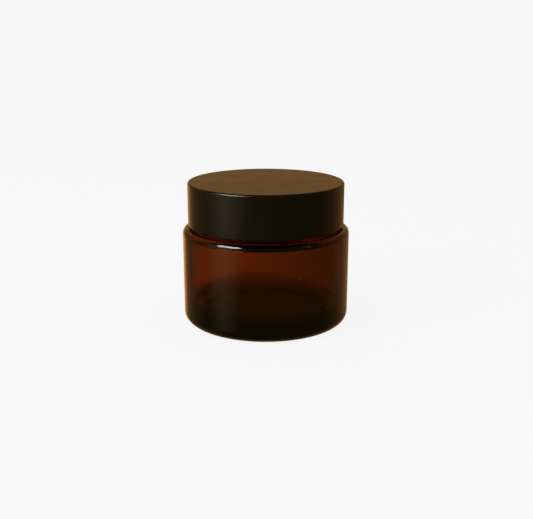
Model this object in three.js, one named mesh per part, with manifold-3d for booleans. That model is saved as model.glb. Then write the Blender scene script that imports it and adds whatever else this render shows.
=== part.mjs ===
// A cosmetic cream jar: a straight-sided amber glass jar closed by a black screw lid. The lid is an
// outer shell snapped over a threaded inner cap, and holds a foam liner. A sealing disc with a
// folding pull tab plugs the mouth of the jar.
// Millimetres, +Z up. The origin is the centre of the ring that the jar stands on.

import * as THREE from "three";
import { mergeVertices } from "three/addons/utils/BufferGeometryUtils.js";
import Module from "manifold-3d";

const wasm = await Module();
wasm.setup();

// ---------- driving dimensions ----------

const GAP = 0.3; // clearance kept between pieces that touch
const FACETS = 64; // facets round each turned piece
const ARC_STEPS = 3; // facets along each rounded corner
const MERGE_DISTANCE = 1e-4;

// Glass body
const BODY_RADIUS = 30;
const BODY_WALL = 3;
const SHOULDER_HEIGHT = 34.6;
const SHOULDER_ROUND = 2;
const SHOULDER_THICKNESS = 1; // over the edge of the bore
const SHOULDER_DROP = 1.4; // the underside of the shoulder falls this far from bore to wall
const CAVITY_TOP_ROUND = 1.2;
const HEEL_ROUND = 3.7;
const FLOOR_HEIGHT = 4.2; // inside floor above the table
const FLOOR_ROUND = 6;
const PUSH_UP_RADIUS = 20; // hollow under the base
const PUSH_UP_HEIGHT = 0.8;
const PUSH_UP_SLOPE = 2.5; // width of the slope that leads into the hollow
const PUSH_UP_ROUND = 2;

// Glass neck
const RIM_HEIGHT = 45.6;
const NECK_RADIUS = 23.8;
const BORE_RADIUS = 21;
const RIM_ROUND = 0.8;
const NECK_FOOT_ROUND = 0.5;
const BORE_FOOT_ROUND = 2;

// Screw thread, right-handed, one start
const PITCH = 5.08;
const RIDGE_HEIGHT = 1.2; // how far each thread ridge stands off its wall
const RIDGE_BURIED = 0.5; // how far its root reaches into the wall
const RUN_OUT_TURN = 0.08; // part of a turn in which a ridge fades at each end
const RIDGE_END_SHARE = 0.1; // what is left of its depth at the very end, inside the wall
const NECK_RIDGE_TURNS = 1.25;
const NECK_RIDGE_BASE = 2.4;
const NECK_RIDGE_CREST = 1.2;
const NECK_RIDGE_LOW = 37.3; // height of the ridge's middle where it starts
const CAP_RIDGE_TURNS = 1;
const CAP_RIDGE_BASE = 1.6;
const CAP_RIDGE_CREST = 0.8;
const CAP_RIDGE_BELOW = 1.75; // the cap's ridge lies this far under the neck's ridge
const CAP_RIDGE_START_TURN = 0.3;

// Lid
const LID_RADIUS = 28;
const LID_TOP = 51;
const LID_BOTTOM = 35.5;
const LID_EDGE_ROUND = 0.8; // round the top
const LID_MOUTH_ROUND = 0.3;
const LID_CORNER_ROUND = 0.5; // inside corners of the shell and the inner cap
const SHELL_WALL = 1.2;
const SHELL_TOP_WALL = 1.4;
const SNAP_BEAD = 0.5; // bead inside the shell's mouth that holds the inner cap
const INNER_CAP_TOP_WALL = 1.1;
const INNER_CAP_ROUND = 0.8;
const SPLINE_COUNT = 24; // splines that stop the inner cap turning in the shell
const SPLINE_HEIGHT = 0.3;
const SPLINE_WIDTH = 1.2;
const SPLINE_INSET = 2; // the splines stop this far from each end of the inner cap
const RIDGE_CLEARANCE = 0.35; // from the cap's ridge to the neck

// Liner, sealing disc and pull tab
const LINER_THICKNESS = 1;
const LINER_RADIUS = 25;
const FLANGE_THICKNESS = 0.7;
const FLANGE_RADIUS = 23.6;
const FLANGE_ROUND = 0.3;
const PLUG_DEPTH = 3.3; // how far the plug ring reaches below the flange
const PLUG_WALL = 0.8;
const PLUG_TIP_ROUND = 0.3;
const WEB_DROP = 1.9; // the middle of the disc lies this far below the flange's top
const WEB_THICKNESS = 0.7;
const HINGE_X = -5.6;
const HINGE_CLEARANCE = 0.2; // from the hinge line to the tab's root
const HINGE_BOSS_WIDTH = 1.3;
const TAB_WIDTH = 10;
const TAB_LENGTH = 14;
const TAB_THICKNESS = 0.6;
const TAB_LIFT = 0.5; // space under the folded tab
const GRIP_RIBS = 3;
const GRIP_RIB_PITCH = 1.8;
const GRIP_RIB_LENGTH = 6;
const GRIP_RIB_SECTION = 0.4;

// ---------- dimensions that follow ----------

const CAVITY_RADIUS = BODY_RADIUS - BODY_WALL;
const UNDER_SHOULDER = SHOULDER_HEIGHT - SHOULDER_THICKNESS;
const FLANGE_BOTTOM = RIM_HEIGHT + GAP;
const FLANGE_TOP = FLANGE_BOTTOM + FLANGE_THICKNESS;
const PLUG_RADIUS = BORE_RADIUS - GAP;
const PLUG_INSIDE = PLUG_RADIUS - PLUG_WALL;
const PLUG_BOTTOM = FLANGE_BOTTOM - PLUG_DEPTH;
const WEB_TOP = FLANGE_TOP - WEB_DROP;
const LINER_BOTTOM = FLANGE_TOP + GAP;
const LINER_TOP = LINER_BOTTOM + LINER_THICKNESS;
const INNER_CAP_CEILING = LINER_TOP + GAP;
const INNER_CAP_TOP = INNER_CAP_CEILING + INNER_CAP_TOP_WALL;
const SHELL_CEILING = LID_TOP - SHELL_TOP_WALL;
const SHELL_INSIDE = LID_RADIUS - SHELL_WALL;
const BEAD_TOP = LID_BOTTOM + SNAP_BEAD;
const SPLINE_RADIUS = SHELL_INSIDE - GAP;
const INNER_CAP_OUTSIDE = SPLINE_RADIUS - SPLINE_HEIGHT;
const INNER_CAP_BOTTOM = BEAD_TOP + GAP;
const CAP_RIDGE_RADIUS = NECK_RADIUS + RIDGE_CLEARANCE;
const CAP_ROOT_RADIUS = CAP_RIDGE_RADIUS + RIDGE_HEIGHT;
const TAB_BOTTOM = WEB_TOP + TAB_LIFT;
const TAB_TOP = TAB_BOTTOM + TAB_THICKNESS;

// ---------- materials ----------

const plastic = (color, roughness) =>
  new THREE.MeshStandardMaterial({ color, roughness, metalness: 0 });

const materials = {
  amberGlass: plastic(0x5a2208, 0.06),
  blackPlastic: plastic(0x17130d, 0.45),
  innerCapPlastic: plastic(0x1c1b1a, 0.4),
  foam: plastic(0xe9e8e3, 0.85),
  naturalPlastic: plastic(0xeceae4, 0.5),
};

// ---------- making solids ----------

// Points of an outline, given its corners as [radius, height, rounding].
function rounded(corners) {
  const at = (i) => new THREE.Vector2(corners[i][0], corners[i][1]);
  return corners.flatMap(([, , round], i) => {
    const corner = at(i);
    if (!round) return [corner];
    const toLast = at(i - 1).sub(corner).normalize();
    const toNext = at(i + 1).sub(corner).normalize();
    const halfAngle = Math.acos(toLast.dot(toNext)) / 2;
    const inwards = toLast.clone().add(toNext).normalize();
    const centre = corner.clone().addScaledVector(inwards, round / Math.sin(halfAngle));
    const start = corner.clone().addScaledVector(toLast, round / Math.tan(halfAngle)).sub(centre);
    const side = Math.sign(toNext.cross(toLast));
    const sweep = side * (Math.PI - 2 * halfAngle);
    const origin = new THREE.Vector2();
    return Array.from({ length: ARC_STEPS + 1 }, (_, step) =>
      start.clone().rotateAround(origin, (sweep * step) / ARC_STEPS).add(centre),
    );
  });
}

function solidOf(geometry) {
  geometry.deleteAttribute("normal");
  geometry.deleteAttribute("uv");
  const merged = mergeVertices(geometry, MERGE_DISTANCE);
  return new wasm.Manifold(
    new wasm.Mesh({
      numProp: 3,
      vertProperties: merged.attributes.position.array,
      triVerts: new Uint32Array(merged.index.array),
    }),
  );
}

// A solid turned about the Z axis.
function turned(corners) {
  const lathe = new THREE.LatheGeometry(rounded(corners), FACETS);
  return solidOf(lathe.rotateX(Math.PI / 2));
}

// A box that spans x, y and z, each given as [low, high].
function box(x, y, z) {
  const size = [x, y, z].map(([low, high]) => high - low);
  const middle = [x, y, z].map(([low, high]) => (low + high) / 2);
  return solidOf(new THREE.BoxGeometry(...size).translate(...middle));
}

// A thread ridge that climbs round the Z axis. It stands on a wall at wallRadius and rises to
// crestRadius, inside or outside that wall, and it sinks into the wall at both ends.
function threadRidge({ wallRadius, crestRadius, base, crest, low, startTurn, turns }) {
  const outwards = Math.sign(crestRadius - wallRadius);
  const root = wallRadius - outwards * RIDGE_BURIED;
  const steps = Math.round(turns * FACETS);
  const positions = [];
  for (let step = 0; step <= steps; step++) {
    const turn = step / FACETS;
    const angle = 2 * Math.PI * (startTurn + turn);
    const middle = low + PITCH * turn;
    const toEnd = Math.min(step, steps - step) / FACETS;
    const height = THREE.MathUtils.clamp(toEnd / RUN_OUT_TURN, RIDGE_END_SHARE, 1);
    const top = THREE.MathUtils.lerp(root, crestRadius, height);
    const section = [
      [root, middle - base / 2],
      [top, middle - crest / 2],
      [top, middle + crest / 2],
      [root, middle + base / 2],
    ];
    if (outwards < 0) section.reverse();
    for (const [radius, z] of section) {
      positions.push(radius * Math.cos(angle), radius * Math.sin(angle), z);
    }
  }
  const geometry = new THREE.BufferGeometry();
  geometry.setAttribute("position", new THREE.Float32BufferAttribute(positions, 3));
  geometry.setIndex(tubeFaces(steps, 4));
  return solidOf(geometry);
}

// Triangles of a closed tube: rings of corners joined by quads, with a flat cap at each end.
function tubeFaces(rings, corners) {
  const faces = [];
  for (let ring = 0; ring < rings; ring++) {
    for (let corner = 0; corner < corners; corner++) {
      const here = ring * corners + corner;
      const beside = ring * corners + ((corner + 1) % corners);
      faces.push(here, here + corners, beside);
      faces.push(beside, here + corners, beside + corners);
    }
  }
  const last = rings * corners;
  for (let corner = 1; corner < corners - 1; corner++) {
    faces.push(0, corner, corner + 1);
    faces.push(last, last + corner + 1, last + corner);
  }
  return faces;
}

function meshOf(name, solid, material) {
  const { vertProperties, triVerts } = solid.getMesh();
  const geometry = new THREE.BufferGeometry();
  geometry.setAttribute("position", new THREE.BufferAttribute(vertProperties, 3));
  geometry.setIndex(new THREE.BufferAttribute(triVerts, 1));
  const mesh = new THREE.Mesh(geometry, material);
  mesh.name = name;
  return mesh;
}

// ---------- pieces ----------

function glassJar() {
  const body = turned([
    [0, PUSH_UP_HEIGHT],
    [PUSH_UP_RADIUS - PUSH_UP_SLOPE, PUSH_UP_HEIGHT, PUSH_UP_ROUND],
    [PUSH_UP_RADIUS, 0],
    [BODY_RADIUS, 0, HEEL_ROUND],
    [BODY_RADIUS, SHOULDER_HEIGHT, SHOULDER_ROUND],
    [NECK_RADIUS, SHOULDER_HEIGHT, NECK_FOOT_ROUND],
    [NECK_RADIUS, RIM_HEIGHT, RIM_ROUND],
    [BORE_RADIUS, RIM_HEIGHT, RIM_ROUND],
    [BORE_RADIUS, UNDER_SHOULDER, BORE_FOOT_ROUND],
    [CAVITY_RADIUS, UNDER_SHOULDER - SHOULDER_DROP, CAVITY_TOP_ROUND],
    [CAVITY_RADIUS, FLOOR_HEIGHT, FLOOR_ROUND],
    [0, FLOOR_HEIGHT],
  ]);
  const ridge = threadRidge({
    wallRadius: NECK_RADIUS,
    crestRadius: NECK_RADIUS + RIDGE_HEIGHT,
    base: NECK_RIDGE_BASE,
    crest: NECK_RIDGE_CREST,
    low: NECK_RIDGE_LOW,
    startTurn: 0,
    turns: NECK_RIDGE_TURNS,
  });
  return meshOf("glass_jar", body.add(ridge), materials.amberGlass);
}

function lidShell() {
  const shell = turned([
    [0, SHELL_CEILING],
    [SHELL_INSIDE, SHELL_CEILING, LID_CORNER_ROUND],
    [SHELL_INSIDE, BEAD_TOP],
    [SHELL_INSIDE - SNAP_BEAD, (BEAD_TOP + LID_BOTTOM) / 2],
    [SHELL_INSIDE - SNAP_BEAD / 2, LID_BOTTOM],
    [LID_RADIUS, LID_BOTTOM, LID_MOUTH_ROUND],
    [LID_RADIUS, LID_TOP, LID_EDGE_ROUND],
    [0, LID_TOP],
  ]);
  return meshOf("lid_shell", shell, materials.blackPlastic);
}

function innerCap() {
  const spline = box(
    [INNER_CAP_OUTSIDE - RIDGE_BURIED, SPLINE_RADIUS],
    [-SPLINE_WIDTH / 2, SPLINE_WIDTH / 2],
    [INNER_CAP_BOTTOM + SPLINE_INSET, INNER_CAP_TOP - SPLINE_INSET],
  );
  let cap = turned([
    [0, INNER_CAP_CEILING],
    [CAP_ROOT_RADIUS, INNER_CAP_CEILING, LID_CORNER_ROUND],
    [CAP_ROOT_RADIUS, INNER_CAP_BOTTOM],
    [INNER_CAP_OUTSIDE, INNER_CAP_BOTTOM],
    [INNER_CAP_OUTSIDE, INNER_CAP_TOP, INNER_CAP_ROUND],
    [0, INNER_CAP_TOP],
  ]);
  for (let i = 0; i < SPLINE_COUNT; i++) {
    cap = cap.add(spline.rotate([0, 0, (360 * i) / SPLINE_COUNT]));
  }
  const ridge = threadRidge({
    wallRadius: CAP_ROOT_RADIUS,
    crestRadius: CAP_RIDGE_RADIUS,
    base: CAP_RIDGE_BASE,
    crest: CAP_RIDGE_CREST,
    low: NECK_RIDGE_LOW - CAP_RIDGE_BELOW + PITCH * CAP_RIDGE_START_TURN,
    startTurn: CAP_RIDGE_START_TURN,
    turns: CAP_RIDGE_TURNS,
  });
  return meshOf("inner_cap", cap.add(ridge), materials.innerCapPlastic);
}

function foamLiner() {
  const liner = turned([
    [0, LINER_BOTTOM],
    [LINER_RADIUS, LINER_BOTTOM],
    [LINER_RADIUS, LINER_TOP],
    [0, LINER_TOP],
  ]);
  return meshOf("foam_liner", liner, materials.foam);
}

function sealingDisc() {
  const disc = turned([
    [0, WEB_TOP - WEB_THICKNESS],
    [PLUG_INSIDE, WEB_TOP - WEB_THICKNESS],
    [PLUG_INSIDE, PLUG_BOTTOM, PLUG_TIP_ROUND],
    [PLUG_RADIUS, PLUG_BOTTOM, PLUG_TIP_ROUND],
    [PLUG_RADIUS, FLANGE_BOTTOM],
    [FLANGE_RADIUS, FLANGE_BOTTOM],
    [FLANGE_RADIUS, FLANGE_TOP, FLANGE_ROUND],
    [PLUG_INSIDE, FLANGE_TOP, FLANGE_ROUND],
    [PLUG_INSIDE, WEB_TOP],
    [0, WEB_TOP],
  ]);
  const bossSide = HINGE_X - GAP;
  const boss = box(
    [bossSide - HINGE_BOSS_WIDTH, bossSide],
    [-TAB_WIDTH / 2, TAB_WIDTH / 2],
    [WEB_TOP - WEB_THICKNESS / 2, TAB_TOP],
  );
  return meshOf("sealing_disc", disc.add(boss), materials.naturalPlastic);
}

function pullTab() {
  const root = HINGE_X + HINGE_CLEARANCE;
  const half = TAB_WIDTH / 2;
  const tipCentre = root + TAB_LENGTH - half;
  const tongue = new THREE.Shape();
  tongue.moveTo(root, -half);
  tongue.lineTo(tipCentre, -half);
  tongue.absarc(tipCentre, 0, half, -Math.PI / 2, Math.PI / 2);
  tongue.lineTo(root, half);
  tongue.closePath();
  const flat = new THREE.ExtrudeGeometry(tongue, {
    depth: TAB_THICKNESS,
    bevelEnabled: false,
    curveSegments: 4 * ARC_STEPS,
  });
  let tab = solidOf(flat.translate(0, 0, TAB_BOTTOM));
  for (let i = 0; i < GRIP_RIBS; i++) {
    const x = tipCentre + (i - (GRIP_RIBS - 1) / 2) * GRIP_RIB_PITCH;
    tab = tab.add(
      box(
        [x - GRIP_RIB_SECTION / 2, x + GRIP_RIB_SECTION / 2],
        [-GRIP_RIB_LENGTH / 2, GRIP_RIB_LENGTH / 2],
        [TAB_TOP - GRIP_RIB_SECTION, TAB_TOP + GRIP_RIB_SECTION],
      ),
    );
  }
  return meshOf("pull_tab", tab, materials.naturalPlastic);
}

// ---------- assembly ----------

const lid = new THREE.Group();
lid.add(lidShell(), innerCap(), foamLiner());

const seal = new THREE.Group();
seal.add(sealingDisc(), pullTab());

const creamJar = new THREE.Group();
creamJar.add(glassJar(), lid, seal);

export default creamJar;
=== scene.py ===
"""Looks for a cosmetic cream jar: an amber glass body under a matt black screw lid.

The lid is an outer shell over a threaded inner cap with a foam liner, and a sealing disc with a pull
tab plugs the mouth. Lengths in the code are metres, and MM turns millimetres into them.
"""

import math

import bpy
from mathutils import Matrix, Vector

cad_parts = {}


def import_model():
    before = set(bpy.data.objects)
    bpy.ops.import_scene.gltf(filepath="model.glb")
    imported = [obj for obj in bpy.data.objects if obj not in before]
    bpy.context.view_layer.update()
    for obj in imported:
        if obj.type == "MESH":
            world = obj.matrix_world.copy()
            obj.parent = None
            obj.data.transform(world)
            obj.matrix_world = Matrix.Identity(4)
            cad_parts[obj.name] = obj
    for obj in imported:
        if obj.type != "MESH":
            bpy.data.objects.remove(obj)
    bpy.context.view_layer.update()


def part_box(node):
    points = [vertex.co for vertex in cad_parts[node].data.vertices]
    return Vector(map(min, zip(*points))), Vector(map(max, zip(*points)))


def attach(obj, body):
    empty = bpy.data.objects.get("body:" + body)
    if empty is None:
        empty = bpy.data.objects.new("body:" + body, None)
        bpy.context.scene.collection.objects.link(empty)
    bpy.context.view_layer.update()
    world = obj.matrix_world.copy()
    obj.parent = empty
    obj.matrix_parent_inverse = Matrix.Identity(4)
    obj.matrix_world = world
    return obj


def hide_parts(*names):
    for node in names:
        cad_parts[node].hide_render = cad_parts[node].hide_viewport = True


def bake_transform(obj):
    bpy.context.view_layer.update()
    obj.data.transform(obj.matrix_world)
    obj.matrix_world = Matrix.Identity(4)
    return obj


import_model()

MM = 0.001
TAU = 2 * math.pi
AROUND = 192  # facets round each turned piece
ARC_STEPS = 14  # facets along each rounded corner
HOLD = 0.12 * MM  # a holding edge this far past each rounding keeps flat faces flat

# ---------- sizes from the frame ----------

_, GLASS_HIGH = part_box("glass_jar")
SHELL_LOW, SHELL_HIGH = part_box("lid_shell")
CAP_LOW, CAP_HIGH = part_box("inner_cap")
LINER_LOW, LINER_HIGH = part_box("foam_liner")
DISC_LOW, DISC_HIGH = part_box("sealing_disc")
TAB_LOW, TAB_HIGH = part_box("pull_tab")

BODY_RADIUS = GLASS_HIGH.x
RIM_HEIGHT = GLASS_HIGH.z
LID_RADIUS = SHELL_HIGH.x
LID_BOTTOM = SHELL_LOW.z
LID_TOP = SHELL_HIGH.z
CAP_BOTTOM = CAP_LOW.z
CAP_TOP = CAP_HIGH.z
SPLINE_RADIUS = CAP_HIGH.x
LINER_RADIUS = LINER_HIGH.x
LINER_BOTTOM = LINER_LOW.z
LINER_TOP = LINER_HIGH.z
FLANGE_RADIUS = DISC_HIGH.x
FLANGE_TOP = DISC_HIGH.z
PLUG_BOTTOM = DISC_LOW.z
TAB_ROOT = TAB_LOW.x
TAB_TIP = TAB_HIGH.x
TAB_BOTTOM = TAB_LOW.z
TAB_HALF_WIDTH = TAB_HIGH.y

# ---------- sizes that the boxes don't give ----------

SHOULDER_HEIGHT = 34.6 * MM
SHOULDER_ROUND = 2.0 * MM
SHOULDER_THICKNESS = 1.0 * MM  # over the edge of the bore
SHOULDER_DROP = 1.4 * MM  # the underside of the shoulder falls this far from bore to wall
CAVITY_TOP_ROUND = 1.2 * MM
HEEL_ROUND = 3.7 * MM
BODY_WALL = 3.0 * MM
FLOOR_HEIGHT = 4.2 * MM
FLOOR_ROUND = 6.0 * MM
PUSH_UP_RADIUS = 20.0 * MM
PUSH_UP_HEIGHT = 0.8 * MM
PUSH_UP_SLOPE = 2.5 * MM
PUSH_UP_ROUND = 2.0 * MM
PUSH_UP_EDGE_ROUND = 0.6 * MM
NECK_RADIUS = 23.8 * MM
BORE_RADIUS = 21.0 * MM
RIM_ROUND = 0.8 * MM
NECK_FOOT_ROUND = 0.5 * MM
BORE_FOOT_ROUND = 2.0 * MM
CAVITY_RADIUS = BODY_RADIUS - BODY_WALL
UNDER_SHOULDER = SHOULDER_HEIGHT - SHOULDER_THICKNESS
CAVITY_TOP = UNDER_SHOULDER - SHOULDER_DROP
WAVE_DEPTH = 0.03 * MM  # how far the cavity's wall wanders from a true cylinder
WAVE_FADE = 4.0 * MM  # from each end of the wall
WALL_STEP = 1.5 * MM  # rows of faces on the cavity's wall are this high

PITCH = 5.08 * MM
RIDGE_HEIGHT = 1.2 * MM
RIDGE_CLEARANCE = 0.35 * MM  # from the cap's ridge to the neck
RUN_OUT_TURN = 0.08  # part of a turn in which a ridge fades at each end
THREAD_STEP = 0.3 * MM  # rows of faces on a threaded wall are this high
NECK_RIDGE_LOW = 37.3 * MM  # height of the ridge's middle where it starts
CAP_RIDGE_LOW = NECK_RIDGE_LOW - 1.75 * MM
NECK_RIDGE = {"low": NECK_RIDGE_LOW, "start": 0, "turns": 1.25, "base": 2.4 * MM, "crest": 1.2 * MM}
CAP_RIDGE = {"low": CAP_RIDGE_LOW, "start": 0.3, "turns": 1, "base": 1.6 * MM, "crest": 0.8 * MM}

LID_EDGE_ROUND = 0.8 * MM
LID_MOUTH_ROUND = 0.3 * MM
SHELL_WALL = 1.2 * MM
SHELL_TOP_WALL = 1.4 * MM
SNAP_BEAD = 0.5 * MM
SNAP_BEAD_ROUND = 0.1 * MM
LID_CORNER_ROUND = 0.5 * MM  # inside corners of the shell and the inner cap
CAP_ROOT_RADIUS = NECK_RADIUS + RIDGE_CLEARANCE + RIDGE_HEIGHT
CAP_TOP_WALL = 1.1 * MM
CAP_TOP_ROUND = 0.8 * MM
CAP_MOUTH_ROUND = 0.15 * MM
SPLINE_COUNT = 24
SPLINE_HEIGHT = 0.3 * MM
SPLINE_HALF_WIDTH = 0.6 * MM
SPLINE_SIDE = 0.15 * MM  # width of each sloping side
SPLINE_INSET = 2.0 * MM
FACETS_BETWEEN_SPLINES = 6

LINER_EDGE_ROUND = 0.3 * MM
PRINT_DEPTH = 0.12 * MM  # how far the disc's flange presses into the liner
PRINT_INNER_SLOPE = 0.6 * MM
PRINT_INNER_ROUND = 0.3 * MM
PRINT_OUTER_SLOPE = 0.5 * MM
PRINT_OUTER_ROUND = 0.2 * MM

FLANGE_THICKNESS = 0.7 * MM
FLANGE_EDGE_ROUND = 0.3 * MM
FLANGE_UNDER_ROUND = 0.2 * MM
PLUG_RADIUS = BORE_RADIUS - 0.3 * MM
PLUG_WALL = 0.8 * MM
PLUG_ROUND = 0.3 * MM
PLUG_ROOT_ROUND = 0.1 * MM
WEB_DROP = 1.9 * MM
WEB_THICKNESS = 0.7 * MM
RING_RADIUS = 15.5 * MM  # the stiffening ring on the middle of the disc
RING_HALF_WIDTH = 0.6 * MM
RING_HEIGHT = 0.3 * MM
RING_ROUND = 0.15 * MM
TAB_THICKNESS = 0.6 * MM
TAB_EDGE_ROUND = 0.18 * MM
TAB_TOP = TAB_BOTTOM + TAB_THICKNESS
TAB_TIP_STEPS = 40
TAB_FIRST_STEP = 4.0 * MM  # an edge this far from the tab's root
HINGE_X = TAB_ROOT - 0.2 * MM
BOSS_SIDE = HINGE_X - 0.3 * MM
BOSS_WIDTH = 1.3 * MM
BOSS_ROUND = 0.12 * MM
RIB_COUNT = 3
RIB_PITCH = 1.8 * MM
RIB_HALF_LENGTH = 3.0 * MM
RIB_SECTION = 0.4 * MM
RIB_ROUND = 0.15 * MM
FILM_THICKNESS = 0.14 * MM
FILM_OVERLAP = 0.08 * MM  # into the boss and into the tab
FILM_SIDE_GAP = 0.3 * MM
FILM_STEPS = 12

# ---------- camera, light and floor values ----------

# Places are azimuth and elevation in degrees. Azimuth 0 is the front, -Y, and 90 is +X.
LENS = 54.7
LENS_SHIFT = 0.0013
CAMERA_PLACE = (0, 15.42)
CAMERA_DISTANCE = 0.2969
CAMERA_TARGET = Vector((0, 0, 0.0218))

WARM = (1, 0.97, 0.93)
SOFTBOX_DISTANCE = 0.6
SOFTBOX_TARGET = Vector((0, 0, 0.03))
OVERHEAD_STRENGTH = 3.6
OVERHEAD_SPREAD = 120  # degrees

BACKDROP = (0.93, 0.93, 0.93)
ROOM = [  # place from the front, 0, to the back, 1, and colour
    (0.5, (0.10, 0.075, 0.016)),
    (0.83, (0.23, 0.12, 0.042)),
    (1.0, (0.41, 0.21, 0.072)),
]
CEILING_STARTS = 30  # degrees up
CEILING_FULL = 60
CEILING_SHARE = 0.15  # of the colour of the wall under it
GLOWS = [  # place, radius in degrees, and colour
    ((-60, 8), 39, (0.74, 0.64, 0.41)),  # light round the left softbox
    ((-162, -10), 24, (0.85, 0.42, 0.14)),  # light on the wall behind, to the left
]

FLOOR_SIZE = 6.0
FLOOR_DEPTH = 0.2 * MM  # below the jar
FLOOR_COLOUR = 0.03
FLOOR_GLOW = 0.89
CARD_DEPTH = 0.1 * MM
# painted shade: the card's near-black stands in for the shadowed ground under the jar
CARD_COLOUR = 0.01


# ---------- mesh making ----------


def smooth(x):
    """0 below 0, 1 above 1, with a soft step between."""
    x = min(max(x, 0), 1)
    return x * x * (3 - 2 * x)


def rounded(corners):
    """Points of an outline, given its corners as (radius, height) or (radius, height, rounding)."""
    points = []
    for i, corner in enumerate(corners):
        here = Vector(corner[:2])
        rounding = corner[2] if len(corner) > 2 else 0
        if not rounding:
            points.append(here)
            continue
        to_last = (Vector(corners[i - 1][:2]) - here).normalized()
        to_next = (Vector(corners[(i + 1) % len(corners)][:2]) - here).normalized()
        half_angle = math.acos(to_last.dot(to_next)) / 2
        centre = here + (to_last + to_next).normalized() * (rounding / math.sin(half_angle))
        reach = rounding / math.tan(half_angle)
        start = here + to_last * reach - centre
        side = 1 if to_next.x * to_last.y - to_next.y * to_last.x > 0 else -1
        sweep = side * (math.pi - 2 * half_angle)
        points.append(here + to_last * (reach + HOLD))
        for step in range(ARC_STEPS + 1):
            turn = sweep * step / ARC_STEPS
            c, s = math.cos(turn), math.sin(turn)
            points.append(centre + Vector((start.x * c - start.y * s, start.x * s + start.y * c)))
        points.append(here + to_next * (reach + HOLD))
    return points


def finer(outline, radius, longest):
    """The outline with its upright stretches at this radius cut into steps no longer than longest."""
    points = [outline[0]]
    for last, here in zip(outline, outline[1:]):
        if at(last.x, radius) and at(here.x, radius):
            count = math.ceil((here - last).length / longest)
            points += [last.lerp(here, i / count) for i in range(1, count)]
        points.append(here)
    return points


def at(value, place):
    return abs(value - place) < 1e-6


def evenly(count=AROUND):
    """Angles spaced evenly round a circle."""
    return [TAU * k / count for k in range(count)]


def lathe(name, outline, angles=None, radius_at=None):
    """A closed mesh turned about Z from an outline whose two ends are on the axis.

    radius_at(angle, radius, height) gives the radius of a point that isn't at its outline's radius.
    """
    angles = angles or evenly()
    count = len(angles)
    vertices = []
    rings = []
    for radius, height in outline:
        start = len(vertices)
        if at(radius, 0):
            vertices.append((0, 0, height))
            rings.append([start] * count)
            continue
        for angle in angles:
            r = radius_at(angle, radius, height) if radius_at else radius
            vertices.append((r * math.cos(angle), r * math.sin(angle), height))
        rings.append(list(range(start, start + count)))
    faces = []
    for low, high in zip(rings, rings[1:]):
        for k in range(count):
            n = (k + 1) % count
            quad = [low[k], low[n], high[n], high[k]]
            face = [v for j, v in enumerate(quad) if v != quad[j - 1]]
            if len(face) > 2:
                faces.append(face)
    return mesh_object(name, vertices, faces)


def inset(outline, distance):
    """A convex outline moved inwards; its points run counter-clockwise."""
    moved = []
    for i, here in enumerate(outline):
        along_last = (here - outline[i - 1]).normalized()
        along_next = (outline[(i + 1) % len(outline)] - here).normalized()
        inwards = Vector((-along_last.y - along_next.y, along_last.x + along_next.x)).normalized()
        half_turn = math.acos(min(along_last.dot(along_next), 1)) / 2
        moved.append(here + inwards * (distance / math.cos(half_turn)))
    return moved


def slab(name, outline, low, high, edge, steps=4):
    """A flat piece with this outline, from height low to height high, with rounded edges."""
    levels = []
    for step in range(steps + 1):
        angle = math.pi / 2 * step / steps
        levels.append((edge * (1 - math.sin(angle)), edge * (1 - math.cos(angle))))
    rings = [(sunk, low + rise) for sunk, rise in levels]
    rings += [(sunk, high - rise) for sunk, rise in reversed(levels)]
    count = len(outline)
    vertices = []
    for sunk, height in rings:
        vertices += [(p.x, p.y, height) for p in inset(outline, sunk)]
    faces = [list(range(count))[::-1], list(range(len(vertices) - count, len(vertices)))]
    for ring in range(len(rings) - 1):
        for k in range(count):
            n = (k + 1) % count
            a, b = ring * count, (ring + 1) * count
            faces.append([a + k, a + n, b + n, b + k])
    return mesh_object(name, vertices, faces)


def mesh_object(name, vertices, faces):
    mesh = bpy.data.meshes.new(name)
    mesh.from_pydata([tuple(v) for v in vertices], [], faces)
    mesh.validate()
    piece = bpy.data.objects.new(name, mesh)
    bpy.context.scene.collection.objects.link(piece)
    shade(piece)
    return piece


def shade(piece):
    piece.data.shade_smooth()
    piece.data.set_sharp_from_angle(angle=math.radians(32))


def joined(piece, others):
    """The piece with other closed pieces joined on, as one closed mesh."""
    for other in others:
        union = piece.modifiers.new("union", "BOOLEAN")
        union.operation = "UNION"
        union.solver = "EXACT"
        union.object = other
        depsgraph = bpy.context.evaluated_depsgraph_get()
        made = bpy.data.meshes.new_from_object(piece.evaluated_get(depsgraph))
        piece.modifiers.clear()
        made.name = piece.name
        piece.data = made
        bpy.data.objects.remove(other)
    shade(piece)
    return piece


def thread_height(angle, height, low, start, turns, base, crest):
    """How far a thread ridge stands off its wall here. low is its middle's height at angle 0."""
    tallest = 0
    turn = (angle / TAU - start) % 1
    while turn <= turns:
        off = abs(height - low - PITCH * (start + turn))
        side = smooth((base / 2 - off) / (base / 2 - crest / 2))
        run_out = smooth(min(turn, turns - turn) / RUN_OUT_TURN)
        tallest = max(tallest, RIDGE_HEIGHT * side * run_out)
        turn += 1
    return tallest


def finished(piece, material, body, node=None):
    """Gives a piece its material and the body it rides on, and hides the part of the model that it
    replaces.
    """
    piece.data.materials.clear()
    piece.data.materials.append(material)
    if body:
        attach(piece, body)
    if node:
        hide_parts(node)


# ---------- materials ----------


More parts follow.
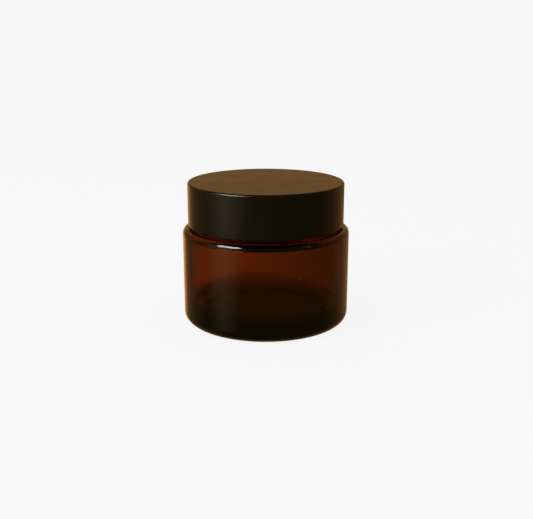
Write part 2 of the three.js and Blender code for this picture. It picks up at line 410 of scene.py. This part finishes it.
class Finish:
    """A node material for one kind of surface, with masks laid out in the piece's own space."""

    def __init__(self, name):
        self.material = bpy.data.materials.new(name)
        self.material.use_nodes = True
        self.tree = self.material.node_tree
        self.shader = self.tree.nodes["Principled BSDF"]
        self.place = self.node("ShaderNodeTexCoord").outputs["Object"]
        self.normal = None

    def node(self, kind):
        return self.tree.nodes.new(kind)

    def link(self, source, target):
        self.tree.links.new(source, target)

    def set(self, socket, value):
        self.shader.inputs[socket].default_value = value

    def noise(self, size, detail=2, stretch=(1, 1, 1)):
        """A cloudy mask from 0 to 1, with features about this size."""
        mapping = self.node("ShaderNodeMapping")
        mapping.inputs["Scale"].default_value = [1 / s for s in stretch]
        texture = self.node("ShaderNodeTexNoise")
        texture.inputs["Scale"].default_value = 1 / size
        texture.inputs["Detail"].default_value = detail
        self.link(self.place, mapping.inputs["Vector"])
        self.link(mapping.outputs["Vector"], texture.inputs["Vector"])
        return texture.outputs["Fac"]

    def cells(self, size):
        """A mask of bubbles about this size, 0 at each bubble's middle."""
        texture = self.node("ShaderNodeTexVoronoi")
        texture.feature = "SMOOTH_F1"
        texture.inputs["Scale"].default_value = 1 / size
        self.link(self.place, texture.inputs["Vector"])
        return texture.outputs["Distance"]

    def between(self, mask, low, high, low_mask=0, high_mask=1):
        """The number that goes from low to high as the mask goes from low_mask to high_mask."""
        spread = self.node("ShaderNodeMapRange")
        spread.interpolation_type = "SMOOTHSTEP"
        spread.inputs["From Min"].default_value = low_mask
        spread.inputs["From Max"].default_value = high_mask
        spread.inputs["To Min"].default_value = low
        spread.inputs["To Max"].default_value = high
        self.link(mask, spread.inputs["Value"])
        return spread.outputs["Result"]

    def combined(self, first, second, operation="MULTIPLY"):
        maths = self.node("ShaderNodeMath")
        maths.operation = operation
        self.link(first, maths.inputs[0])
        self.link(second, maths.inputs[1])
        return maths.outputs[0]

    def height(self):
        split = self.node("ShaderNodeSeparateXYZ")
        self.link(self.place, split.inputs[0])
        return split.outputs["Z"]

    def from_axis(self):
        """The distance from the Z axis."""
        flat = self.node("ShaderNodeVectorMath")
        flat.operation = "MULTIPLY"
        flat.inputs[1].default_value = (1, 1, 0)
        length = self.node("ShaderNodeVectorMath")
        length.operation = "LENGTH"
        self.link(self.place, flat.inputs[0])
        self.link(flat.outputs["Vector"], length.inputs[0])
        return length.outputs["Value"]

    def colours(self, mask, first, second):
        mix = self.node("ShaderNodeMix")
        mix.data_type = "RGBA"
        mix.inputs["A"].default_value = (*first, 1)
        mix.inputs["B"].default_value = (*second, 1)
        self.link(mask, mix.inputs["Factor"])
        self.link(mix.outputs["Result"], self.shader.inputs["Base Color"])

    def roughness(self, value):
        self.link(value, self.shader.inputs["Roughness"])

    def bump(self, mask, depth):
        """Raises the surface by depth where the mask is 1, on top of any earlier bump."""
        bump = self.node("ShaderNodeBump")
        bump.inputs["Strength"].default_value = 1
        bump.inputs["Distance"].default_value = depth
        self.link(mask, bump.inputs["Height"])
        if self.normal:
            self.link(self.normal, bump.inputs["Normal"])
        self.normal = bump.outputs["Normal"]
        self.link(self.normal, self.shader.inputs["Normal"])


def amber_glass():
    """Dark amber glass that absorbs on the way through, with a fire-polished, faintly wavy skin."""
    glass = Finish("amber_glass")
    glass.set("Base Color", (1, 1, 1, 1))
    glass.set("IOR", 1.52)
    glass.set("Transmission Weight", 1)
    glass.roughness(glass.between(glass.noise(6 * MM), 0.03, 0.055, 0.3, 0.7))
    glass.bump(glass.noise(14 * MM, detail=0), 0.008 * MM)
    absorption_per_metre = (330, 580, 850)
    most = max(absorption_per_metre)
    absorb = glass.node("ShaderNodeVolumeAbsorption")
    absorb.inputs["Color"].default_value = (*(1 - a / most for a in absorption_per_metre), 1)
    absorb.inputs["Density"].default_value = most
    glass.link(absorb.outputs[0], glass.tree.nodes["Material Output"].inputs["Volume"])
    return glass.material


def lid_black():
    """Matt black plastic with a fine spark-eroded texture, rubbed smoother along the top edge."""
    black = Finish("lid_black")
    grain = black.noise(0.16 * MM, detail=1)
    cloud = black.noise(9 * MM, detail=3)
    near_top = black.between(black.height(), 0, 1, LID_TOP - 0.5 * MM, LID_TOP - 0.1 * MM)
    near_side = black.between(black.from_axis(), 0, 1, LID_RADIUS - 0.5 * MM, LID_RADIUS - 0.1 * MM)
    rubbed = black.combined(near_top, near_side)
    rough = black.between(cloud, 0.24, 0.28, 0.35, 0.65)
    black.roughness(black.combined(rough, black.between(rubbed, 0, 0.1), "SUBTRACT"))
    black.colours(cloud, (0.0022, 0.0018, 0.0011), (0.0030, 0.0025, 0.0015))
    black.bump(grain, 0.004 * MM)
    return black.material


def inner_cap_black():
    """Plain moulded black plastic, a little glossier than the shell, with faint flow marks."""
    black = Finish("inner_cap_black")
    flow = black.noise(2.5 * MM, detail=3, stretch=(1, 1, 5))
    black.colours(flow, (0.010, 0.010, 0.010), (0.015, 0.0145, 0.014))
    black.roughness(black.between(flow, 0.26, 0.42, 0.3, 0.7))
    black.bump(flow, 0.01 * MM)
    return black.material


def liner_foam():
    """White closed-cell foam with a skin of tiny bubbles."""
    foam = Finish("liner_foam")
    bubbles = foam.cells(0.28 * MM)
    foam.colours(foam.noise(5 * MM, detail=4), (0.70, 0.69, 0.655), (0.80, 0.79, 0.76))
    foam.roughness(foam.between(bubbles, 0.6, 0.95, 0.1, 0.6))
    foam.bump(bubbles, -0.05 * MM)
    foam.bump(foam.noise(3 * MM), 0.05 * MM)
    foam.set("Subsurface Weight", 0.2)
    foam.set("Subsurface Radius", (1.2 * MM, 1.1 * MM, 1.0 * MM))
    foam.set("Subsurface Scale", 1)
    return foam.material


def natural_plastic():
    """Milky uncoloured polyethylene with a soft waxy gloss and a fine moulded grain."""
    plastic = Finish("natural_plastic")
    cloud = plastic.noise(7 * MM, detail=3)
    grain = plastic.noise(0.2 * MM, detail=1)
    plastic.colours(cloud, (0.74, 0.73, 0.69), (0.84, 0.83, 0.80))
    plastic.roughness(plastic.between(cloud, 0.34, 0.5, 0.3, 0.7))
    plastic.bump(grain, 0.006 * MM)
    plastic.set("Subsurface Weight", 0.35)
    plastic.set("Subsurface Radius", (1.6 * MM, 1.5 * MM, 1.3 * MM))
    plastic.set("Subsurface Scale", 1)
    return plastic.material


# ---------- pieces ----------


def jar_radius(angle, radius, height):
    """The neck's thread ridge, and the slight waves of the cavity's wall."""
    if at(radius, NECK_RADIUS):
        return radius + thread_height(angle, height, **NECK_RIDGE)
    if at(radius, CAVITY_RADIUS):
        low_fade = smooth((height - FLOOR_HEIGHT - FLOOR_ROUND) / WAVE_FADE)
        high_fade = smooth((CAVITY_TOP - height) / WAVE_FADE)
        fade = low_fade * high_fade
        wave = math.sin(3 * angle + height / (5 * MM)) + 0.6 * math.sin(7 * angle - height / (3 * MM))
        return radius + WAVE_DEPTH * fade * wave
    return radius


def glass_jar(material):
    outline = rounded([
        (0, PUSH_UP_HEIGHT),
        (PUSH_UP_RADIUS - PUSH_UP_SLOPE, PUSH_UP_HEIGHT, PUSH_UP_ROUND),
        (PUSH_UP_RADIUS, 0, PUSH_UP_EDGE_ROUND),
        (BODY_RADIUS, 0, HEEL_ROUND),
        (BODY_RADIUS, SHOULDER_HEIGHT, SHOULDER_ROUND),
        (NECK_RADIUS, SHOULDER_HEIGHT, NECK_FOOT_ROUND),
        (NECK_RADIUS, RIM_HEIGHT, RIM_ROUND),
        (BORE_RADIUS, RIM_HEIGHT, RIM_ROUND),
        (BORE_RADIUS, UNDER_SHOULDER, BORE_FOOT_ROUND),
        (CAVITY_RADIUS, CAVITY_TOP, CAVITY_TOP_ROUND),
        (CAVITY_RADIUS, FLOOR_HEIGHT, FLOOR_ROUND),
        (0, FLOOR_HEIGHT),
    ])
    outline = finer(outline, NECK_RADIUS, THREAD_STEP)
    outline = finer(outline, CAVITY_RADIUS, WALL_STEP)
    jar = lathe("jar_glass", outline, radius_at=jar_radius)
    finished(jar, material, "jar", "glass_jar")


def lid_shell(material):
    inside = LID_RADIUS - SHELL_WALL
    outline = rounded([
        (0, LID_TOP - SHELL_TOP_WALL),
        (inside, LID_TOP - SHELL_TOP_WALL, LID_CORNER_ROUND),
        (inside, LID_BOTTOM + SNAP_BEAD, SNAP_BEAD_ROUND),
        (inside - SNAP_BEAD, LID_BOTTOM + SNAP_BEAD / 2, SNAP_BEAD_ROUND),
        (inside - SNAP_BEAD / 2, LID_BOTTOM, SNAP_BEAD_ROUND),
        (LID_RADIUS, LID_BOTTOM, LID_MOUTH_ROUND),
        (LID_RADIUS, LID_TOP, LID_EDGE_ROUND),
        (0, LID_TOP),
    ])
    shell = lathe("lid_outer_shell", outline)
    finished(shell, material, "lid", "lid_shell")


def spline_angles():
    """Angles round the inner cap, with an edge loop at each edge of each spline's sides."""
    top = SPLINE_HALF_WIDTH / SPLINE_RADIUS
    foot = (SPLINE_HALF_WIDTH + SPLINE_SIDE) / SPLINE_RADIUS
    sector = TAU / SPLINE_COUNT
    count = FACETS_BETWEEN_SPLINES
    angles = []
    for i in range(SPLINE_COUNT):
        middle = sector * i
        angles += [middle - top, middle + top]
        angles += [middle + foot + (sector - 2 * foot) * k / count for k in range(count + 1)]
    return angles


def spline_height(angle, height):
    sector = TAU / SPLINE_COUNT
    off = abs((angle + sector / 2) % sector - sector / 2) * SPLINE_RADIUS
    side = smooth((SPLINE_HALF_WIDTH + SPLINE_SIDE - off) / SPLINE_SIDE)
    to_end = min(height - CAP_BOTTOM, CAP_TOP - height) - SPLINE_INSET
    return SPLINE_HEIGHT * side * smooth(to_end / SPLINE_SIDE)


def cap_radius(angle, radius, height):
    """The inner cap's thread ridge inside, and its splines outside."""
    if at(radius, CAP_ROOT_RADIUS):
        return radius - thread_height(angle, height, **CAP_RIDGE)
    if at(radius, SPLINE_RADIUS - SPLINE_HEIGHT):
        return radius + spline_height(angle, height)
    return radius


def inner_cap(material):
    outside = SPLINE_RADIUS - SPLINE_HEIGHT
    ceiling = CAP_TOP - CAP_TOP_WALL
    outline = rounded([
        (0, ceiling),
        (CAP_ROOT_RADIUS, ceiling, LID_CORNER_ROUND),
        (CAP_ROOT_RADIUS, CAP_BOTTOM, CAP_MOUTH_ROUND),
        (outside, CAP_BOTTOM, CAP_MOUTH_ROUND),
        (outside, CAP_BOTTOM + SPLINE_INSET),
        (outside, CAP_TOP - SPLINE_INSET),
        (outside, CAP_TOP, CAP_TOP_ROUND),
        (0, CAP_TOP),
    ])
    outline = finer(outline, CAP_ROOT_RADIUS, THREAD_STEP)
    outline = finer(outline, outside, THREAD_STEP)
    cap = lathe("lid_inner_cap", outline, spline_angles(), cap_radius)
    finished(cap, material, "lid", "inner_cap")


def foam_liner(material):
    """The liner is pressed in a little where it bears on the disc's flange."""
    pressed = LINER_BOTTOM + PRINT_DEPTH
    print_inside = BORE_RADIUS - PLUG_WALL
    outline = rounded([
        (0, LINER_BOTTOM),
        (print_inside - PRINT_INNER_SLOPE, LINER_BOTTOM, PRINT_INNER_ROUND),
        (print_inside, pressed, PRINT_INNER_ROUND),
        (FLANGE_RADIUS, pressed, PRINT_OUTER_ROUND),
        (FLANGE_RADIUS + PRINT_OUTER_SLOPE, LINER_BOTTOM, PRINT_OUTER_ROUND),
        (LINER_RADIUS, LINER_BOTTOM, LINER_EDGE_ROUND),
        (LINER_RADIUS, LINER_TOP, LINER_EDGE_ROUND),
        (0, LINER_TOP),
    ])
    liner = lathe("liner_foam_disc", outline)
    finished(liner, material, "liner", "foam_liner")


def rectangle(low_x, high_x, half_y):
    """An outline, counter-clockwise."""
    return [Vector(p) for p in ((low_x, -half_y), (high_x, -half_y), (high_x, half_y), (low_x, half_y))]


def sealing_disc(material):
    """A plug with a flange that covers the rim, a stiffening ring and the boss of the tab's hinge."""
    plug_inside = PLUG_RADIUS - PLUG_WALL
    flange_bottom = FLANGE_TOP - FLANGE_THICKNESS
    web_top = FLANGE_TOP - WEB_DROP
    ring_top = web_top + RING_HEIGHT
    outline = rounded([
        (0, web_top - WEB_THICKNESS),
        (plug_inside, web_top - WEB_THICKNESS, PLUG_ROUND),
        (plug_inside, PLUG_BOTTOM, PLUG_ROUND),
        (PLUG_RADIUS, PLUG_BOTTOM, PLUG_ROUND),
        (PLUG_RADIUS, flange_bottom, PLUG_ROOT_ROUND),
        (FLANGE_RADIUS, flange_bottom, FLANGE_UNDER_ROUND),
        (FLANGE_RADIUS, FLANGE_TOP, FLANGE_EDGE_ROUND),
        (plug_inside, FLANGE_TOP, FLANGE_EDGE_ROUND),
        (plug_inside, web_top, PLUG_ROUND),
        (RING_RADIUS + RING_HALF_WIDTH, web_top, RING_ROUND),
        (RING_RADIUS + RING_HALF_WIDTH / 2, ring_top, RING_ROUND),
        (RING_RADIUS - RING_HALF_WIDTH / 2, ring_top, RING_ROUND),
        (RING_RADIUS - RING_HALF_WIDTH, web_top, RING_ROUND),
        (0, web_top),
    ])
    disc = lathe("sealing_disc_plug", outline)
    boss_outline = rectangle(BOSS_SIDE - BOSS_WIDTH, BOSS_SIDE, TAB_HALF_WIDTH)
    boss = slab("boss", boss_outline, web_top - WEB_THICKNESS / 2, TAB_TOP, BOSS_ROUND)
    finished(joined(disc, [boss]), material, "disc", "sealing_disc")


def pull_tab(material):
    """A tongue with a round tip, grip ribs on top and rounded edges."""
    tip_centre = TAB_TIP - TAB_HALF_WIDTH
    first_step = TAB_ROOT + TAB_FIRST_STEP
    tongue = [Vector((TAB_ROOT, -TAB_HALF_WIDTH)), Vector((first_step, -TAB_HALF_WIDTH))]
    for step in range(TAB_TIP_STEPS + 1):
        angle = -math.pi / 2 + math.pi * step / TAB_TIP_STEPS
        reach = Vector((math.cos(angle), math.sin(angle))) * TAB_HALF_WIDTH
        tongue.append(Vector((tip_centre, 0)) + reach)
    tongue += [Vector((first_step, TAB_HALF_WIDTH)), Vector((TAB_ROOT, TAB_HALF_WIDTH))]
    tab = slab("pull_tab_tongue", tongue, TAB_BOTTOM, TAB_TOP, TAB_EDGE_ROUND)
    ribs = []
    for i in range(RIB_COUNT):
        x = tip_centre + (i - (RIB_COUNT - 1) / 2) * RIB_PITCH
        outline = rectangle(x - RIB_SECTION / 2, x + RIB_SECTION / 2, RIB_HALF_LENGTH)
        ribs.append(slab("rib", outline, TAB_TOP - RIB_SECTION, TAB_TOP + RIB_SECTION, RIB_ROUND))
    finished(joined(tab, ribs), material, "tab", "pull_tab")


def hinge_film(material):
    """The thin web that the tab folds on, a straight strip from the boss to the tab."""
    low_x = BOSS_SIDE - FILM_OVERLAP
    high_x = TAB_ROOT + FILM_OVERLAP
    half_y = TAB_HALF_WIDTH - FILM_SIDE_GAP
    middle = (TAB_BOTTOM + TAB_TOP) / 2
    vertices = []
    faces = []
    for step in range(FILM_STEPS + 1):
        x = low_x + (high_x - low_x) * step / FILM_STEPS
        for y, z in ((-half_y, -1), (half_y, -1), (half_y, 1), (-half_y, 1)):
            vertices.append((x, y, middle + z * FILM_THICKNESS / 2))
    for step in range(FILM_STEPS):
        for k in range(4):
            n = (k + 1) % 4
            here = 4 * step
            faces.append([here + k, here + n, here + 4 + n, here + 4 + k][::-1])
    faces += [[0, 1, 2, 3], [4 * FILM_STEPS + k for k in (3, 2, 1, 0)]]
    film = mesh_object("tab_hinge_film", vertices, faces)
    finished(film, material, None)
    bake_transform(film)


# ---------- camera, light and floor ----------


def direction(azimuth, elevation):
    """A unit vector: azimuth 0 points to the front, -Y, and 90 to +X."""
    a, e = math.radians(azimuth), math.radians(elevation)
    return Vector((math.sin(a) * math.cos(e), -math.cos(a) * math.cos(e), math.sin(e)))


def seen_from(azimuth, elevation, distance, target):
    """A place round the target and the turn that faces it."""
    offset = direction(azimuth, elevation) * distance
    return target + offset, (-offset).to_track_quat("-Z", "Y").to_euler()


def placed(name, data, spot):
    obj = bpy.data.objects.new(name, data)
    obj.location, obj.rotation_euler = spot
    bpy.context.scene.collection.objects.link(obj)
    return obj


def camera():
    data = bpy.data.cameras.new("camera")
    data.sensor_width = 36
    data.lens = LENS
    data.shift_x = LENS_SHIFT
    data.clip_start = 0.01
    spot = seen_from(*CAMERA_PLACE, CAMERA_DISTANCE, CAMERA_TARGET)
    bpy.context.scene.camera = placed("camera", data, spot)


def softbox(name, azimuth, elevation, size, strength):
    data = bpy.data.lights.new(name, "AREA")
    data.shape = "RECTANGLE"
    data.size, data.size_y = size
    data.energy = strength
    data.color = WARM
    placed(name, data, seen_from(azimuth, elevation, SOFTBOX_DISTANCE, SOFTBOX_TARGET))


def overhead():
    data = bpy.data.lights.new("overhead", "SUN")
    data.energy = OVERHEAD_STRENGTH
    data.angle = math.radians(OVERHEAD_SPREAD)
    lamp = placed("overhead", data, seen_from(0, 90, 1, Vector()))
    lamp.visible_glossy = False
    lamp.visible_transmission = False


def wall_ramp(nodes, links, toward):
    """The colour of the room's walls, from its front to its back."""
    flat = nodes.new("ShaderNodeVectorMath")
    flat.operation = "MULTIPLY"
    flat.inputs[1].default_value = (1, 1, 0)
    unit = nodes.new("ShaderNodeVectorMath")
    unit.operation = "NORMALIZE"
    split = nodes.new("ShaderNodeSeparateXYZ")
    share = nodes.new("ShaderNodeMath")
    share.operation = "MULTIPLY_ADD"
    share.inputs[1].default_value = 0.5
    share.inputs[2].default_value = 0.5
    ramp = nodes.new("ShaderNodeValToRGB")
    for _ in ROOM[2:]:
        ramp.color_ramp.elements.new(0.9)
    for element, (position, colour) in zip(ramp.color_ramp.elements, ROOM):
        element.position = position
        element.color = (*colour, 1)
    links.new(toward, flat.inputs[0])
    links.new(flat.outputs[0], unit.inputs[0])
    links.new(unit.outputs[0], split.inputs[0])
    links.new(split.outputs["Y"], share.inputs[0])
    links.new(share.outputs[0], ramp.inputs[0])
    return ramp.outputs[0]


def under_ceiling(nodes, links, toward, colour):
    """The colour, darkened towards the top of the room."""
    up = nodes.new("ShaderNodeSeparateXYZ")
    ceiling = nodes.new("ShaderNodeMapRange")
    ceiling.interpolation_type = "SMOOTHSTEP"
    ceiling.inputs["From Min"].default_value = math.sin(math.radians(CEILING_STARTS))
    ceiling.inputs["From Max"].default_value = math.sin(math.radians(CEILING_FULL))
    ceiling.inputs["To Min"].default_value = 1
    ceiling.inputs["To Max"].default_value = CEILING_SHARE
    walls = nodes.new("ShaderNodeVectorMath")
    walls.operation = "SCALE"
    links.new(toward, up.inputs[0])
    links.new(up.outputs["Z"], ceiling.inputs["Value"])
    links.new(colour, walls.inputs[0])
    links.new(ceiling.outputs["Result"], walls.inputs["Scale"])
    return walls.outputs[0]


def with_glow(nodes, links, toward, colour, place, radius, glow):
    """The colour with a round, soft glow added to it."""
    middle = nodes.new("ShaderNodeVectorMath")
    middle.operation = "DOT_PRODUCT"
    middle.inputs[1].default_value = direction(*place)
    lobe = nodes.new("ShaderNodeMapRange")
    lobe.inputs["From Min"].default_value = math.cos(math.radians(radius))
    lobe.inputs["From Max"].default_value = 1
    soft = nodes.new("ShaderNodeMath")
    soft.operation = "POWER"
    soft.inputs[1].default_value = 2
    added = nodes.new("ShaderNodeMix")
    added.data_type = "RGBA"
    added.blend_type = "ADD"
    added.inputs["B"].default_value = (*glow, 1)
    links.new(toward, middle.inputs[0])
    links.new(middle.outputs["Value"], lobe.inputs["Value"])
    links.new(lobe.outputs["Result"], soft.inputs[0])
    links.new(soft.outputs[0], added.inputs["Factor"])
    links.new(colour, added.inputs["A"])
    return added.outputs["Result"]


def room_colour(nodes, links):
    """The room round the jar: a ramp from front to back, a dark ceiling, and soft glows."""
    toward = nodes.new("ShaderNodeTexCoord").outputs["Generated"]
    colour = under_ceiling(nodes, links, toward, wall_ramp(nodes, links, toward))
    for place, radius, glow in GLOWS:
        colour = with_glow(nodes, links, toward, colour, place, radius, glow)
    return colour


def world():
    """The camera sees a pale backdrop, and everything else a warm room that is darker in front."""
    made = bpy.data.worlds.new("studio")
    bpy.context.scene.world = made
    made.use_nodes = True
    nodes, links = made.node_tree.nodes, made.node_tree.links
    pale = nodes["Background"]
    pale.inputs["Color"].default_value = (*BACKDROP, 1)
    room = nodes.new("ShaderNodeBackground")
    path = nodes.new("ShaderNodeLightPath")
    mix = nodes.new("ShaderNodeMixShader")
    links.new(room_colour(nodes, links), room.inputs["Color"])
    links.new(path.outputs["Is Camera Ray"], mix.inputs[0])
    links.new(room.outputs[0], mix.inputs[1])
    links.new(pale.outputs[0], mix.inputs[2])
    links.new(mix.outputs[0], nodes["World Output"].inputs[0])


def stage_material(name, colour, glow=0):
    finish = Finish(name)
    finish.set("Base Color", (colour, colour, colour, 1))
    finish.set("Roughness", 1)
    finish.set("Specular IOR Level", 0)
    finish.set("Emission Color", (1, 1, 1, 1))
    finish.set("Emission Strength", glow)
    return finish.material


def floor():
    """A pale floor that glows almost as much as the backdrop, so it shows only a faint shadow."""
    bpy.ops.mesh.primitive_plane_add(size=FLOOR_SIZE, location=(0, 0, -FLOOR_DEPTH))
    plane = bpy.context.object
    plane.name = "floor"
    plane.data.materials.append(stage_material("floor", FLOOR_COLOUR, FLOOR_GLOW))
    plane.visible_glossy = False
    plane.visible_transmission = False
    plane.visible_diffuse = False


def painted_shadow_card():
    """A dark card under the jar: painted shade standing in for the shadowed ground beneath it, which
    only refracted and reflected light meets.
    """
    bearing = BODY_RADIUS - HEEL_ROUND
    bpy.ops.mesh.primitive_circle_add(radius=bearing, fill_type="NGON", location=(0, 0, -CARD_DEPTH))
    card = bpy.context.object
    card.name = "painted_shadow_card"
    card.data.materials.append(stage_material("painted_shadow_card", CARD_COLOUR))
    card.visible_camera = False
    card.visible_shadow = False
    card.visible_diffuse = False


def studio():
    bpy.context.scene.view_settings.view_transform = "Standard"
    camera()
    world()
    floor()
    painted_shadow_card()
    overhead()
    softbox("left_strip", -53, 32, (0.3, 0.24), 2.9)
    softbox("right_strip", 62, 32, (0.1, 0.25), 0.03)


# ---------- the jar ----------

studio()
natural = natural_plastic()
glass_jar(amber_glass())
lid_shell(lid_black())
inner_cap(inner_cap_black())
foam_liner(liner_foam())
sealing_disc(natural)
pull_tab(natural)
hinge_film(natural)
